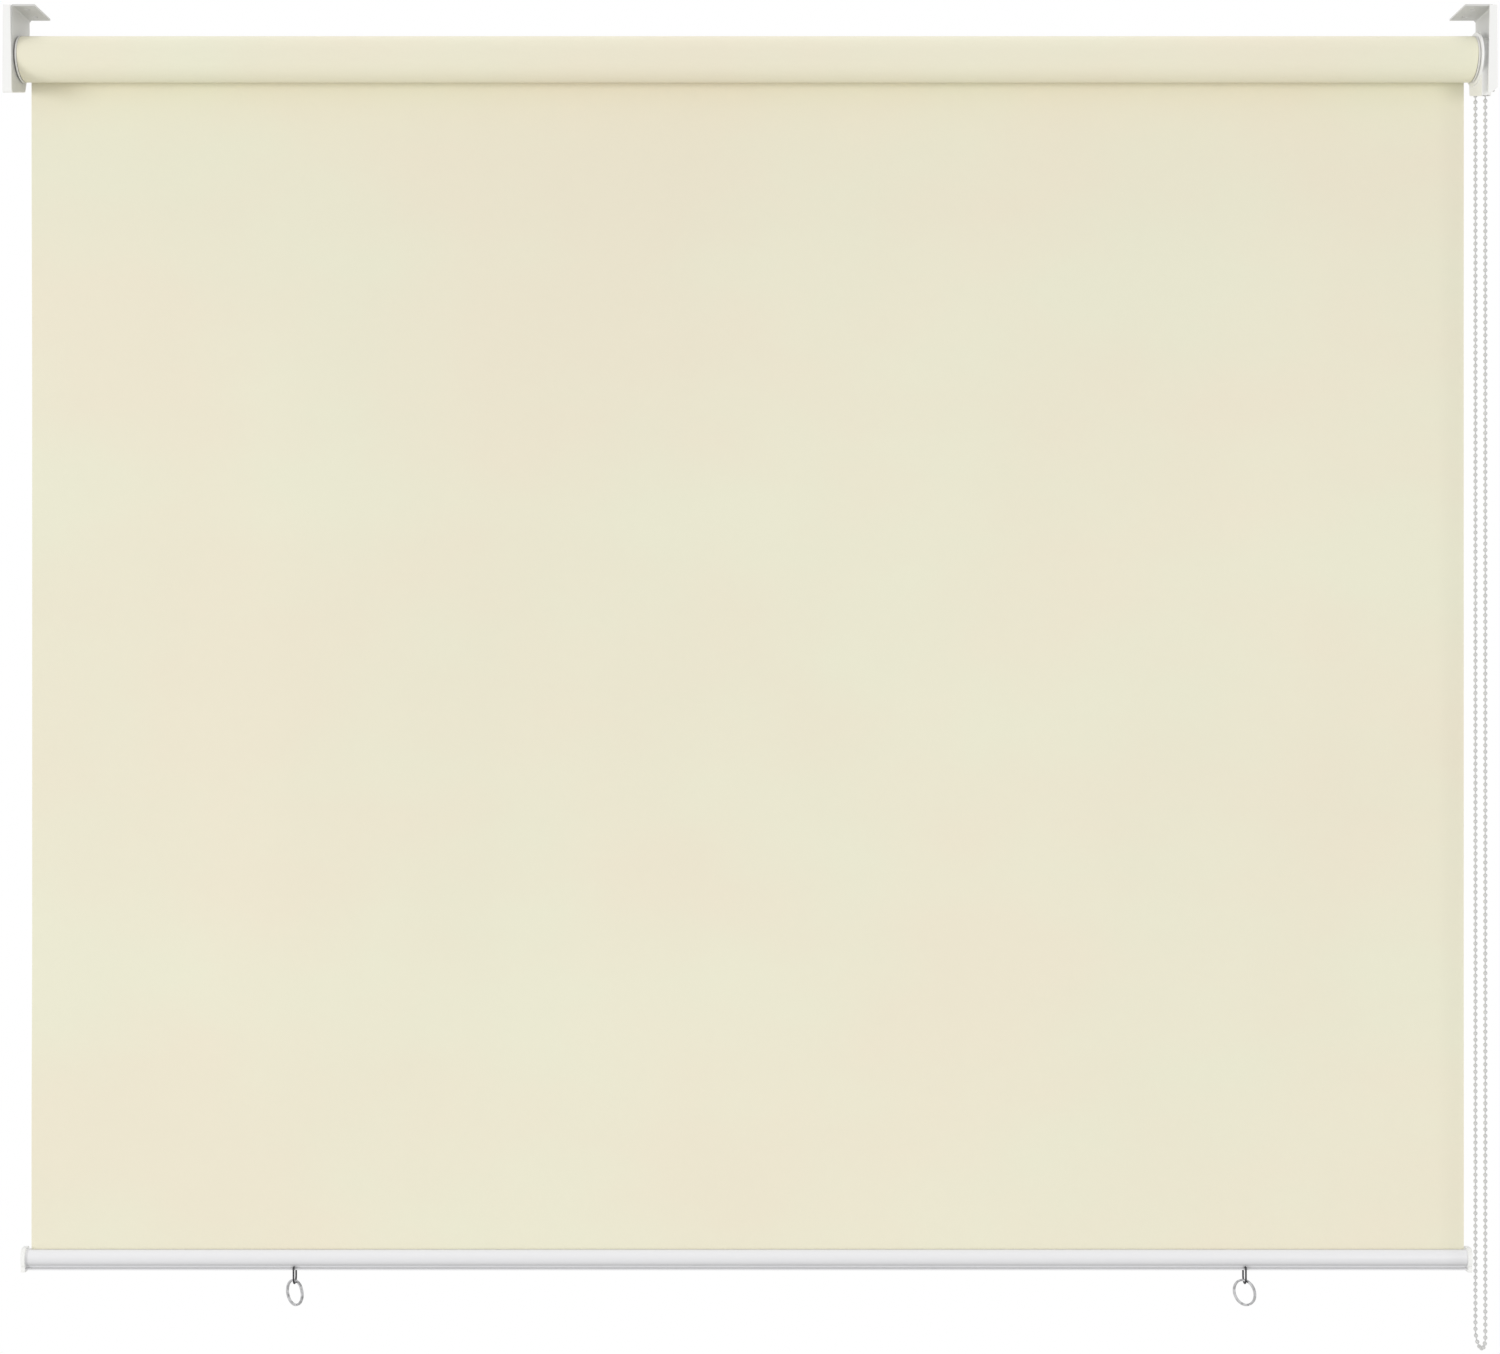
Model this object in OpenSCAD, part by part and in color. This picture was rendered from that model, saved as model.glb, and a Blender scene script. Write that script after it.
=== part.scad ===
// Outdoor roller blind: a fabric wound on a tube between two ceiling brackets, worked by an
// endless bead chain, with a weighted bottom rail that carries two tie-down rings.
// X runs along the roller, Y from the room side to the wall side, Z up. The origin is the middle
// of the four ceiling screw holes, on the plane of the ceiling.

/* [Overall size] */
// Width over the outer faces of the two bracket covers
overall_w = 1600; // [700:10:2400]
// Height from the ceiling plane to the underside of the bottom rail
hang_h = 1368; // [700:1:2300]

/* [Brackets] */
// Thickness of the bracket steel
steel_t = 2; // [1.6:0.1:2.6]
// Depth of the side plate, front to back
plate_depth = 56; // [52:1:66]
// Height of the side plate, from the ceiling plane down
plate_h = 94; // [90:1:104]
// Depth that is left at the foot of the side plate, below its slanted back edge
plate_foot = 42; // [34:1:50]
// Rise of the side plate's foot from front to back
foot_rise = 11.5; // [0:0.5:14]
// Height on the side plate where the back edge starts to slant
plate_slant = 45; // [20:1:70]
// Depth of the ceiling flange
flange_depth = 52; // [46:1:52]
// Reach of the ceiling flange inward from the cover's outer face
flange_reach = 34; // [30:1:50]
// Inside radius of the bend between plate and flange
bend_r = 1.5; // [0.5:0.1:3]
// Radius of the rounded bracket corners
corner_r = 5; // [2:0.5:8]
// Diameter of the ceiling screw holes
screw_hole_d = 5.5; // [4:0.1:7]
// Spacing of the two screw holes in one flange, front to back
screw_pitch = 26; // [18:1:32]
// Distance of the screw holes from the cover's outer face
screw_inset = 22; // [19:0.5:25]
// Height from the ceiling plane down to the roller's axis
axis_drop = 52; // [44:0.5:58]

/* [Bracket covers] */
// Width of the cover's front face at its foot
cover_w = 10; // [9:0.5:14]
// Lean of each side of the front face over its height
cover_draft = 0.8; // [0:0.1:1.2]
// Wall of the covers
cover_t = 1.4; // [1:0.1:2]
// Thickness of the cover's front wall
cover_front_t = 2; // [1.4:0.1:3]
// How much lower the chain side's cover reaches than the plain one
cover_long = 2; // [0:0.5:6]
// Height of the slanted cut across the foot of the chain side's cover
cover_slant = 8; // [2:0.5:12]

/* [Roller tube and fabric] */
// Outside diameter of the aluminium tube
tube_d = 44; // [42:0.5:50]
// Wall of the aluminium tube
tube_wall = 1.2; // [0.9:0.1:1.8]
// Thickness of the fabric
fabric_t = 0.5; // [0.3:0.05:0.8]
// Air between two turns of fabric on the roll
turn_gap = 0.15; // [0.1:0.05:0.3]
// Turns of fabric left on the tube when the blind is down
turns = 3; // [1:1:5]
// Radius of the plastic cord that locks the fabric in the tube's groove
tube_cord_r = 1.5; // [1.2:0.1:1.8]

/* [Idle end] */
// Diameter of the spring pin
pin_d = 8; // [6:0.5:9]
// Length of the spring pin outside the plug
pin_out = 9; // [7:0.5:12]
// Length of the plastic plug inside the tube
plug_len = 50; // [44:1:70]
// Wire of the pin's spring
pin_wire = 1.2; // [0.8:0.1:1.4]
// Turns of the pin's spring
pin_turns = 8; // [6:1:10]
// Thickness of the bush's flange on the bracket
bush_flange_t = 1.2; // [0.8:0.1:2]
// Wall of the bush in the bracket
bush_wall = 2; // [1.4:0.1:3]

/* [Chain clutch] */
// Thickness of the clutch between the bracket and the roller
clutch_w = 12; // [12:0.5:16]
// Diameter of the clutch's round guard beside the roll
guard_d = 56; // [52:1:62]
// Length of the clutch's fixed core inside the tube
core_len = 74; // [70:1:90]
// Diameter of the clutch's fixed core
core_d = 16; // [14:0.5:18]
// Height of the chain outlet, from the roller's axis down
outlet_h = 45; // [40:1:48]
// Rise of the chain outlet's rim from front to back
outlet_rise = 11; // [0:0.5:12]
// Wall of the clutch housing
housing_wall = 1.5; // [1.2:0.1:2]
// Wire of the two brake springs
brake_wire = 1.2; // [0.8:0.1:1.3]
// Turns of each brake spring
brake_turns = 5; // [3:1:5]

/* [Bead chain] */
// Diameter of a bead
bead_d = 4.5; // [4:0.1:4.8]
// Distance from bead to bead
bead_pitch = 7; // [6.5:0.1:7.4]
// Diameter of the cord that the beads are moulded on
chain_cord_d = 1.2; // [0.8:0.1:1.6]
// Bead pockets round the drive wheel
pockets = 14; // [12:2:14]
// Beads along each straight strand
strand_beads = 197; // [60:1:300]

/* [Bottom rail] */
// Height of the rail
rail_h = 21.6; // [20:0.2:30]
// Width of the rail at its fullest
rail_w = 15; // [14.5:0.5:18]
// Height of the flat lip under the rail's round body
lip_h = 1.8; // [1.6:0.1:4]
// Height of the groove on each side between the round body and the lip
neck_h = 2.2; // [2.1:0.1:3]
// Depth of that groove
neck_depth = 2; // [0.8:0.1:2.4]
// Wall of the rail
rail_wall = 1.2; // [1:0.1:1.3]
// Rail beyond the fabric's edge at the plain end
rail_over_left = 4.5; // [1:0.5:8]
// Rail beyond the fabric's edge at the chain end
rail_over_right = 2; // [1:0.5:3]
// Thickness of the end cap's flange
cap_t = 4.4; // [3:0.2:4.6]
// How far the end cap stands proud of the rail all round
cap_lip = 2.2; // [1:0.1:3]
// Depth of the end cap's plug in the rail
cap_plug = 14; // [8:1:24]
// Radius of the plastic cord that locks the fabric in the rail
rail_cord_r = 1.9; // [1.5:0.1:2]

/* [Tie rings] */
// Distance of the left eye from the middle of the blind
eye_left = 498; // [100:1:700]
// Distance of the right eye from the middle of the blind
eye_right = 541; // [100:1:700]
// Wire of the eye
eye_wire = 2; // [1.6:0.1:2]
// How far the eye hangs below the rail
eye_hang = 16.6; // [15:0.2:22]
// Outside diameter of a tie ring
ring_d = 29; // [26:0.5:40]
// Thickness of a tie ring, seen along its axis
ring_t = 2.2; // [1.6:0.1:2.4]
// Width of a tie ring's two turns together
ring_w = 3; // [2:0.1:3.2]
// Turn of the left ring about the vertical
ring_turn_left = -42; // [-52:1:52]
// Turn of the right ring about the vertical
ring_turn_right = -47; // [-52:1:52]

/* [Hidden] */
$fn = 96;
spring_steps = 12;
spring_sides = 6;
turn_steps = 48;

// Clearances
fit = 0.1;       // still fits: covers, plugs, eyes
run_fit = 0.05;  // running fits: pin in bush, wheel and adapter on the core
run_gap = 0.7;   // end play between turning and fixed faces
seat_fit = 0.1;  // bead in its pocket
end_gap = 0.2;   // fabric sheet to the roll's last turn
ring_gap = 1.1;  // ring above the eye's wire

// Along the blind
half_w = overall_w / 2;
left_in = -half_w + cover_w;
left_out = left_in - steel_t;
right_out = half_w - cover_draft - cover_t - fit;
right_in = right_out - steel_t;
clutch_x0 = right_in - clutch_w;
collar_t = 1.8;
fabric_x0 = left_in + bush_flange_t + run_gap + collar_t;
fabric_x1 = clutch_x0 - run_gap - collar_t;
fabric_w = fabric_x1 - fabric_x0;
rail_x0 = fabric_x0 - rail_over_left;
rail_x1 = fabric_x1 + rail_over_right;

// Front to back
flange_y0 = -flange_depth / 2;
plate_y1 = flange_y0 + plate_depth;
foot_y1 = flange_y0 + plate_foot;
foot_slope = foot_rise / plate_foot;
cover_y0 = flange_y0 - fit - cover_front_t;

// Roller
axis_z = -axis_drop;
tube_r = tube_d / 2;
tube_in = tube_r - tube_wall;
turn_pitch = fabric_t + turn_gap;
roll_r = tube_r + fit + fabric_t + turn_pitch * turns;
sheet_y = roll_r - fabric_t / 2;
groove_turn = 200;
groove_wall = 1.1;
groove_r = tube_cord_r + fit;
groove_depth = tube_wall + groove_r;
groove_slot = 1.2;
boss_w = 2 * (groove_r + groove_wall);
boss_h = groove_depth + groove_r + groove_wall;

// Idle end
pin_r = pin_d / 2;
bush_r = pin_r + bush_wall;
pin_shoulder_r = pin_r + 1.8;
pin_shoulder_t = 3;
pin_neck = 12;
pin_tail = 16;
plug_cap_t = 4;
plug_x0 = fabric_x0 - collar_t;
plug_x1 = fabric_x0 + plug_len;
spring_room_r = pin_shoulder_r + 0.4;
spring_x0 = fabric_x0 + pin_neck + pin_shoulder_t;
spring_x1 = plug_x1 - plug_cap_t;

// Chain clutch
core_r = core_d / 2;
pitch_r = bead_pitch / (2 * sin(180 / pockets));
bead_r = bead_d / 2;
chain_room = pitch_r + bead_r + 1;
drum_r = chain_room + 2 * housing_wall;
wheel_r = pitch_r;
wheel_w = 6;
base_t = 1.2;
chain_x = right_in - base_t - run_gap - wheel_w / 2;
wheel_x0 = chain_x - wheel_w / 2;
wheel_x1 = chain_x + wheel_w / 2;
guard_t = 2;
guard_r = guard_d / 2;
brake_r = core_r + 0.45 + brake_wire / 2;
sleeve_in = brake_r + brake_wire / 2 + 0.5;
sleeve_r = sleeve_in + 2.4;
sleeve_x0 = fabric_x1 - 22;
core_x0 = right_in - core_len;
adapter_x0 = core_x0 + 0.4;
brake_len = brake_turns * (brake_wire + 0.4) + brake_wire;
prong = [3, 8, steel_t];
prong_y = 11;
outlet_split = pitch_r - bead_r - 1.5;
outlet_y = chain_room + housing_wall;
washer_t = 1.2;
core_screw_r = 1.5;
core_screw_len = 16;

// Bottom rail
rail_z0 = -hang_h;
rail_z1 = rail_z0 + rail_h;
body_h = rail_h - lip_h - neck_h;
body_mid = rail_z1 - body_h / 2;
body_r = body_h * 0.75;
body_shift = body_r - rail_w / 2;
lip_w = rail_w - 3.4;
lip_round = 0.8;
neck_w = lip_w - 2 * neck_depth;
cord_room = rail_cord_r + 0.4;
cord_z = rail_z1 - rail_wall - cord_room;
rail_slot = fabric_t + 0.3;
cord_slit = fabric_t + 0.3;

// Tie rings
eye_r = lip_w / 2 + fit + eye_wire / 2;
eye_low = rail_z0 - eye_hang + eye_wire / 2;
eye_z = eye_low + eye_r;
eye_top = rail_z0 + lip_h + neck_h / 2;
ring_r = ring_d / 2;
ring_z = eye_low + eye_wire / 2 + ring_gap - (ring_r - ring_t);

white = "white";
off_white = "whitesmoke";
cream = [0.91, 0.89, 0.79];
pale_metal = "silver";

// Extrudes a drawing of (y, z) along X, from x0 to x1.
module along_x(x0, x1) {
    translate([x0, 0, 0]) rotate([90, 0, 90]) linear_extrude(x1 - x0) children();
}

// Extrudes a drawing of (x, z) along Y, from y0 to y1.
module along_y(y0, y1) {
    translate([0, y1, 0]) rotate([90, 0, 0]) linear_extrude(y1 - y0) children();
}

// A rod round the roller's axis, from x0 to x1.
module rod_x(r, x0, x1) {
    translate([x0, 0, axis_z]) rotate([0, 90, 0]) cylinder(r = r, h = x1 - x0);
}

// Moves a drawing of (y, z) from the origin to the roller's axis.
module on_axis() {
    translate([0, axis_z]) children();
}

// The waste at the corner of a rounded outline, with the corner at the origin and the metal
// towards (sx, sy).
module corner_waste(r, sx, sy) {
    difference() {
        translate([min(0, sx * r) - (sx > 0 ? 1 : 0), min(0, sy * r) - (sy > 0 ? 1 : 0)])
            square(r + 1);
        translate([sx * r, sy * r]) circle(r);
    }
}

// A solid swept along a list of points, with a round section of the given number of sides.
module sweep(path, r, sides) {
    n = len(path);
    tangent = [for (i = [0 : n - 1])
        let (d = path[min(i + 1, n - 1)] - path[max(i - 1, 0)]) d / norm(d)];
    side = [for (i = [0 : n - 1]) let (s = cross([1, 0, 0], tangent[i])) s / norm(s)];
    rise = [for (i = [0 : n - 1]) cross(tangent[i], side[i])];
    points = [for (i = [0 : n - 1], k = [0 : sides - 1])
        path[i] + r * (cos(360 * k / sides) * side[i] + sin(360 * k / sides) * rise[i])];
    walls = [for (i = [0 : n - 2], k = [0 : sides - 1], half = [0, 1])
        let (a = i * sides + k, b = i * sides + (k + 1) % sides)
            half == 0 ? [a, a + sides, b + sides] : [a, b + sides, b]];
    first = [for (k = [0 : sides - 1]) k];
    last = [for (k = [sides - 1 : -1 : 0]) (n - 1) * sides + k];
    polyhedron(points, concat(walls, [first, last]));
}

// A helical spring round the roller's axis, from x0 to x1 at the middle of its wire.
module spring_x(r, wire, coils, x0, x1) {
    steps = coils * spring_steps;
    sweep([for (i = [0 : steps])
        [x0 + (x1 - x0) * i / steps, r * cos(360 * i / spring_steps),
            axis_z + r * sin(360 * i / spring_steps)]], wire / 2, spring_sides);
}

// Brackets

// The side plate and flange of a bracket as a bent strip, seen from the front: the plate's outer
// face stands at x = 0 and the flange runs towards +x.
module bent_strip(reach) {
    outer_r = bend_r + steel_t;
    difference() {
        translate([0, -plate_h]) square([reach, plate_h]);
        translate([steel_t, -plate_h - 1]) square([reach, plate_h + 1 - steel_t - bend_r]);
        translate([outer_r, -plate_h]) square([reach, plate_h - steel_t]);
        translate([outer_r, -outer_r]) circle(bend_r);
        corner_waste(outer_r, 1, -1);
    }
}

// The outline of the side plate, seen from the side, with its slanted back edge.
module plate_outline() {
    difference() {
        polygon([[flange_y0, 0], [plate_y1, 0], [plate_y1, -plate_slant],
            [foot_y1, foot_rise - plate_h], [flange_y0, -plate_h]]);
        translate([flange_y0, -plate_h]) corner_waste(corner_r, 1, 1);
    }
}

// One bracket blank: the strip, cut to the plate's outline and to the flange's own depth.
module bracket_blank(outer_x, side) {
    reach = flange_reach - half_w + abs(outer_x);
    flange_end = outer_x - side * reach;
    difference() {
        intersection() {
            translate([outer_x, 0, 0]) mirror([side > 0 ? 1 : 0, 0, 0])
                along_y(flange_y0, plate_y1) bent_strip(reach);
            along_x(-half_w, half_w) plate_outline();
        }
        // the flange stops short of the plate's back edge
        translate([min(outer_x - side * (steel_t + bend_r), flange_end - side), -flange_y0, -plate_slant / 2])
            cube([reach - steel_t - bend_r + 1, plate_depth, plate_slant]);
        for (y = [-1, 1]) translate([side * (half_w - screw_inset), y * screw_pitch / 2, -steel_t - 1])
            cylinder(d = screw_hole_d, h = steel_t + 2);
    }
}

module left_bracket() {
    color(off_white) difference() {
        bracket_blank(left_out, -1);
        rod_x(bush_r + fit, left_out - 1, left_in + 1);
    }
}

// The chain side's bracket has two slots for the clutch's prongs.
module right_bracket() {
    color(off_white) difference() {
        bracket_blank(right_out, 1);
        for (y = [-1, 1])
            translate([right_in - 1, y * prong_y - prong[0] / 2 - fit, axis_z - prong[1] / 2 - fit])
                cube([steel_t + 2, prong[0] + 2 * fit, prong[1] + 2 * fit]);
    }
}

// Bracket covers

// A cover as a block: its leaning front outline run back to the plate's back edge.
module cover_block(side, height, slant) {
    top = -1;
    back_slope = (plate_y1 - foot_y1) / (plate_h - foot_rise - plate_slant);
    foot_y = foot_y1 - (height - plate_h) * back_slope;
    foot_z = foot_slope * (foot_y - cover_y0) - height;
    intersection() {
        mirror([side < 0 ? 1 : 0, 0, 0]) along_y(cover_y0, plate_y1)
            polygon([[half_w - cover_draft, top], [half_w, -height + slant],
                [half_w - cover_w, -height], [half_w - cover_w + 2 * cover_draft, top]]);
        along_x(-half_w - 1, half_w + 1) difference() {
            polygon([[cover_y0, 0], [plate_y1, 0], [plate_y1, -plate_slant], [foot_y, foot_z],
                [cover_y0, -height]]);
            translate([cover_y0, -height]) corner_waste(corner_r, 1, 1);
        }
    }
}

// The plain end's cover is a tray that takes the bracket's plate in its mouth.
module left_cover() {
    height = plate_h + fit + cover_t;
    mouth = [flange_y0 - fit, -plate_h - fit];
    color(white) difference() {
        cover_block(-1, height, 0);
        along_x(-half_w + cover_draft + cover_t, left_in + 1) translate(mouth) difference() {
            polygon([[0, 0], [plate_depth, foot_slope * plate_depth], [plate_depth, plate_h + 1],
                [0, plate_h + 1]]);
            corner_waste(corner_r, 1, 1);
        }
    }
}

// The chain side's cover is open below, where the chain comes out.
module right_cover() {
    height = plate_h + fit + cover_t + cover_long;
    color(white) difference() {
        cover_block(1, height, cover_slant);
        along_x(right_in - clutch_w, right_out + fit)
            translate([flange_y0 - fit, -height - 1]) square([plate_depth + 1, height + 1]);
    }
}

// Idle end

module pin_bush() {
    color(white) difference() {
        union() {
            rod_x(bush_r, left_out, left_in);
            rod_x(bush_r + 2, left_in, left_in + bush_flange_t);
        }
        rod_x(pin_r + run_fit, left_out - 1, left_in + bush_flange_t + 1);
    }
}

// The outside of a moulded tube plug: a hub, ribs that reach the tube's wall, and a collar. The
// gap between two ribs clears the groove's boss in the tube.
module plug_body(hub_r, x0, x1, collar_x0, collar_x1) {
    ribs = 8;
    rib_t = 3;
    rod_x(hub_r, x0, x1);
    rod_x(roll_r - turn_gap, collar_x0, collar_x1);
    for (i = [0 : ribs - 1])
        translate([0, 0, axis_z]) rotate([groove_turn + 360 * (i + 0.5) / ribs, 0, 0]) translate([x0, 0, 0])
            intersection() {
                translate([0, 0, -rib_t / 2]) cube([x1 - x0, tube_in, rib_t]);
                rotate([0, 90, 0]) cylinder(r = tube_in - fit, h = x1 - x0);
            }
}

module idle_plug() {
    color(white) difference() {
        plug_body(spring_room_r + 3, fabric_x0, plug_x1, plug_x0, fabric_x0);
        rod_x(pin_r + run_fit, plug_x0 - 1, plug_x1);
        rod_x(spring_room_r, fabric_x0 + pin_neck, plug_x1 + 1);
    }
}

// The disc that shuts the spring into the plug.
module plug_cap() {
    color(off_white) difference() {
        rod_x(spring_room_r - fit, spring_x1, plug_x1);
        rod_x(pin_r - 0.5, spring_x1 - 1, plug_x1 + 1);
    }
}

module idle_pin() {
    tip = 1;
    color(pale_metal) {
        translate([plug_x0 - pin_out, 0, axis_z]) rotate([0, 90, 0])
            cylinder(r1 = pin_r - tip, r2 = pin_r, h = tip);
        rod_x(pin_r, plug_x0 - pin_out + tip, spring_x0);
        rod_x(pin_shoulder_r, spring_x0 - pin_shoulder_t + fit, spring_x0);
        rod_x(pin_r - 2, spring_x0, spring_x0 + pin_tail);
    }
}

module pin_spring() {
    color(pale_metal) spring_x(pin_shoulder_r - pin_wire, pin_wire, pin_turns,
        spring_x0 + pin_wire / 2 + fit, spring_x1 - pin_wire / 2 - fit);
}

// Roller

// The tube's fabric groove: a keyhole channel in a boss on the inside of the wall.
module tube_profile() {
    difference() {
        union() {
            difference() {
                circle(tube_r);
                circle(tube_in);
            }
            rotate(groove_turn) intersection() {
                translate([tube_r - boss_h, -boss_w / 2]) square([boss_h, boss_w]);
                circle(tube_r - tube_wall / 2);
            }
        }
        rotate(groove_turn) {
            translate([tube_r - groove_depth, 0]) circle(groove_r);
            translate([tube_r - groove_depth, -groove_slot / 2]) square([groove_depth + 1, groove_slot]);
        }
    }
}

module roller_tube() {
    color(pale_metal) along_x(fabric_x0, fabric_x1) on_axis() tube_profile();
}

module tube_cord() {
    color(white) along_x(fabric_x0 + 1, fabric_x1 - 1) on_axis() rotate(groove_turn)
        translate([tube_r - groove_depth, 0]) circle(tube_cord_r);
}

// The turns of fabric left on the tube, as one spiral strip. It comes off the back of the roll.
module fabric_roll() {
    steps = turns * turn_steps;
    function turned(i, depth) =
        let (a = 360 * i / turn_steps, r = roll_r - turn_pitch * i / turn_steps - depth)
            [r * cos(a), r * sin(a)];
    color(cream) along_x(fabric_x0, fabric_x1) on_axis()
        polygon(concat([for (i = [0 : steps]) turned(i, 0)],
            [for (i = [steps : -1 : 0]) turned(i, fabric_t)]));
}

module fabric_drop() {
    color(cream) translate([fabric_x0, roll_r - fabric_t, cord_z])
        cube([fabric_w, fabric_t, axis_z - end_gap - cord_z]);
}

// Chain clutch

// The housing: a round guard beside the roll, a drum round the drive wheel, and the chain's outlet
// below, split in two so that the strands can't twist together.
module clutch_housing() {
    room_x0 = wheel_x0 - run_gap;
    rim_slope = outlet_rise / (2 * outlet_y);
    split_h = 16;
    color(off_white) difference() {
        union() {
            rod_x(guard_r, clutch_x0, clutch_x0 + guard_t);
            rod_x(drum_r, clutch_x0, right_in);
            along_x(room_x0 - housing_wall, right_in) on_axis() difference() {
                polygon([[-outlet_y, -outlet_h], [outlet_y, outlet_rise - outlet_h], [outlet_y, 0],
                    [-outlet_y, 0]]);
                translate([-outlet_y, -outlet_h]) corner_waste(corner_r, 1, 1);
                translate([outlet_y, outlet_rise - outlet_h - corner_r * rim_slope])
                    corner_waste(corner_r, -1, 1);
            }
        }
        difference() {
            union() {
                rod_x(chain_room, room_x0, right_in + 1);
                along_x(room_x0, right_in - base_t) on_axis()
                    translate([-chain_room, -outlet_h - 1]) square([2 * chain_room, outlet_h + 1]);
            }
            along_x(clutch_x0, right_in) on_axis()
                translate([-outlet_split, -outlet_h]) square([2 * outlet_split, split_h]);
        }
        rod_x(sleeve_r + run_gap, clutch_x0 - 1, right_in);
    }
}

// The fixed core: a shaft on a round base, with two prongs that hook into the bracket.
module clutch_core() {
    color(off_white) difference() {
        union() {
            rod_x(core_r, core_x0, right_in);
            rod_x(chain_room - fit, right_in - base_t, right_in);
            for (y = [-1, 1])
                translate([right_in, y * prong_y - prong[0] / 2, axis_z - prong[1] / 2])
                    cube([prong[2], prong[0], prong[1]]);
        }
        rod_x(core_screw_r + fit, core_x0 - 1, core_x0 + core_screw_len + 2);
    }
}

// The drive wheel: bead pockets round its rim, a groove for the chain's cord, and the sleeve that
// turns the brake springs.
module drive_wheel() {
    bore = core_r + run_fit;
    groove = chain_cord_d / 2 + 0.4;
    floor_r = pitch_r * cos(180 / pockets) - groove;
    color(white) translate([0, 0, axis_z]) rotate([0, 90, 0]) difference() {
        rotate_extrude() polygon([[bore, wheel_x0], [sleeve_in, wheel_x0], [sleeve_in, sleeve_x0],
            [sleeve_r, sleeve_x0], [sleeve_r, wheel_x0], [wheel_r, wheel_x0], [wheel_r, chain_x - groove],
            [floor_r, chain_x - groove], [floor_r, chain_x + groove], [wheel_r, chain_x + groove],
            [wheel_r, wheel_x1], [bore, wheel_x1]]);
        for (i = [0 : pockets - 1])
            rotate([0, 0, 90 + 360 * i / pockets]) translate([pitch_r, 0, chain_x]) rotate([0, 90, 0])
                sphere(bead_r + seat_fit);
    }
}

module brake_springs() {
    spare = (wheel_x0 - sleeve_x0 - 2 * brake_len) / 3;
    color(pale_metal) for (i = [0, 1])
        let (x0 = sleeve_x0 + spare + i * (brake_len + spare))
            spring_x(brake_r, brake_wire, brake_turns, x0 + brake_wire / 2, x0 + brake_len - brake_wire / 2);
}

module tube_adapter() {
    color(off_white) difference() {
        plug_body(sleeve_r + 2.5, adapter_x0, fabric_x1, fabric_x1, fabric_x1 + collar_t);
        rod_x(core_r + run_fit, adapter_x0 - 1, fabric_x1);
        rod_x(sleeve_r + run_fit, sleeve_x0 - run_gap, fabric_x1 + collar_t + 1);
    }
}

module core_washer() {
    color(pale_metal) difference() {
        rod_x(core_r + 3, core_x0 - washer_t, core_x0);
        rod_x(core_screw_r + 2 * fit, core_x0 - washer_t - 1, core_x0 + 1);
    }
}

module core_screw() {
    head_x = core_x0 - washer_t;
    head_h = 2.4;
    head_r = 3.4;
    recess = [head_h, 0.9, 4];
    color(pale_metal) difference() {
        union() {
            rod_x(core_screw_r, head_x, core_x0 + core_screw_len);
            rod_x(head_r, head_x - head_h, head_x);
        }
        for (turn = [0, 90]) translate([head_x - head_h, 0, axis_z]) rotate([turn, 0, 0])
            cube(recess, center = true);
    }
}

// Bead chain

// A point on the drive wheel's pitch circle, at an angle up from the wall side.
function on_wheel(a) = [chain_x, pitch_r * cos(a), axis_z + pitch_r * sin(a)];
function below_wheel(a) = on_wheel(a) - [0, 0, strand_beads * bead_pitch];

// Half a turn of beads and cord, over the wheel or under the hanging loop. Each bead is turned so
// that its poles lie along X, clear of the cord.
module chain_bend(top) {
    step = (top ? 1 : -1) * 360 / pockets;
    function place(i) = top ? on_wheel(i * step) : below_wheel(i * step);
    for (i = [0 : pockets / 2])
        translate(place(i)) rotate([i * step, 0, 0]) rotate([90, 0, 90]) sphere(bead_r);
    translate((place(0) + place(pockets / 2)) / 2) rotate([90, 0, 90])
        rotate_extrude(angle = 180, start = top ? 0 : 180)
            translate([pitch_r, 0]) circle(d = chain_cord_d);
}

// A straight strand, turned from the outline of its beads and cord. Its cord runs on into the end
// beads of the two bends.
module chain_strand(a) {
    length = strand_beads * bead_pitch;
    translate(below_wheel(a)) rotate_extrude() intersection() {
        union() {
            translate([-chain_cord_d / 2, 0]) square([chain_cord_d, length]);
            for (i = [1 : strand_beads - 1]) translate([0, i * bead_pitch]) circle(bead_r);
        }
        square([bead_d, length]);
    }
}

module bead_chain() {
    $fn = 32;
    color(white) {
        chain_bend(true);
        chain_bend(false);
        for (a = [0, 180]) chain_strand(a);
    }
}

// Bottom rail

// The rail's outline, grown all round by a lip: a body with two bowed sides, a neck, and a flat
// lip with rounded lower corners.
module rail_outline(grow) {
    lip_half = lip_w / 2 + grow;
    translate([sheet_y, 0]) {
        intersection() {
            translate([-body_shift, body_mid]) circle(body_r + grow);
            translate([body_shift, body_mid]) circle(body_r + grow);
            translate([-rail_w, rail_z1 - body_h - grow]) square([2 * rail_w, body_h + 2 * grow]);
        }
        translate([-neck_w / 2 - grow, rail_z0 + lip_h / 2])
            square([neck_w + 2 * grow, lip_h / 2 + neck_h + rail_wall]);
        difference() {
            translate([-lip_half, rail_z0 - grow]) square([2 * lip_half, lip_h + 2 * grow]);
            for (side = [-1, 1]) translate([side * lip_half, rail_z0 - grow])
                corner_waste(lip_round + grow / 2, -side, 1);
        }
    }
}

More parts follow.
